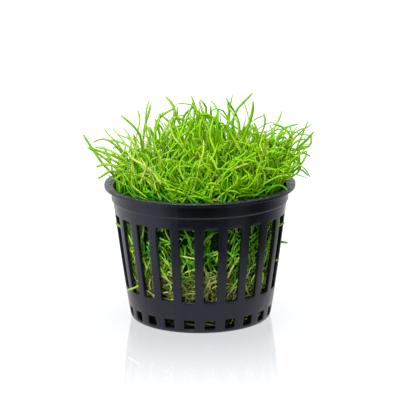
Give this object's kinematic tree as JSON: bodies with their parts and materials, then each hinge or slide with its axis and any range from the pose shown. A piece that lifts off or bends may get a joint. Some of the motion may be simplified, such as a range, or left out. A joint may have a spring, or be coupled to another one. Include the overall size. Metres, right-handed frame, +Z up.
{
  "type": "potted grass-leaf bladderwort",
  "caption": "Slotted black net pot filled with matted growth, from which fine bright green grass-like leaves stand and arch over the flared lip.",
  "frame": {"origin": "centre of the pot's base, on the pot's axis, in the plane that it stands on", "axes": "+Z up along the pot's axis; -Y is the front that the picture shows, with +X to its right"},
  "size_m": [0.0665, 0.0647, 0.065],
  "materials": {
    "black_plastic": "satin",
    "old_growth": "matte",
    "matted_leaves": "matte",
    "fresh_leaf": "satin"
  },
  "bodies": {
    "root": {"leaf_mat": "matted_leaves", "leaf_tuft_01": "fresh_leaf", "leaf_tuft_02": "fresh_leaf", "leaf_tuft_03": "fresh_leaf", "leaf_tuft_04": "fresh_leaf", "leaf_tuft_05": "fresh_leaf", "leaf_tuft_06": "fresh_leaf", "leaf_tuft_07": "fresh_leaf", "leaf_tuft_08": "fresh_leaf", "leaf_tuft_09": "fresh_leaf", "leaf_tuft_10": "fresh_leaf", "leaf_tuft_11": "fresh_leaf", "leaf_tuft_12": "fresh_leaf", "leaf_tuft_13": "fresh_leaf", "leaf_tuft_14": "fresh_leaf", "leaf_tuft_15": "fresh_leaf", "leaf_tuft_16": "fresh_leaf", "leaf_tuft_17": "fresh_leaf", "leaf_tuft_18": "fresh_leaf", "leaf_tuft_19": "fresh_leaf", "leaf_tuft_20": "fresh_leaf", "leaf_tuft_21": "fresh_leaf", "leaf_tuft_22": "fresh_leaf", "leaf_tuft_23": "fresh_leaf", "leaf_tuft_24": "fresh_leaf", "leaf_tuft_25": "fresh_leaf", "leaf_tuft_26": "fresh_leaf", "leaf_tuft_27": "fresh_leaf", "leaf_tuft_28": "fresh_leaf", "leaf_tuft_29": "fresh_leaf", "leaf_tuft_30": "fresh_leaf", "leaf_tuft_31": "fresh_leaf", "leaf_tuft_32": "fresh_leaf", "leaf_tuft_33": "fresh_leaf", "leaf_tuft_34": "fresh_leaf", "leaf_tuft_35": "fresh_leaf", "leaf_tuft_36": "fresh_leaf", "leaf_tuft_37": "fresh_leaf", "leaf_tuft_38": "fresh_leaf", "leaf_tuft_39": "fresh_leaf", "leaf_tuft_40": "fresh_leaf", "leaf_tuft_41": "fresh_leaf", "leaf_tuft_42": "fresh_leaf", "leaf_tuft_43": "fresh_leaf", "leaf_tuft_44": "fresh_leaf", "leaf_tuft_45": "fresh_leaf", "net_pot": "black_plastic", "root_mat": "old_growth"}
  },
  "joints": []
}
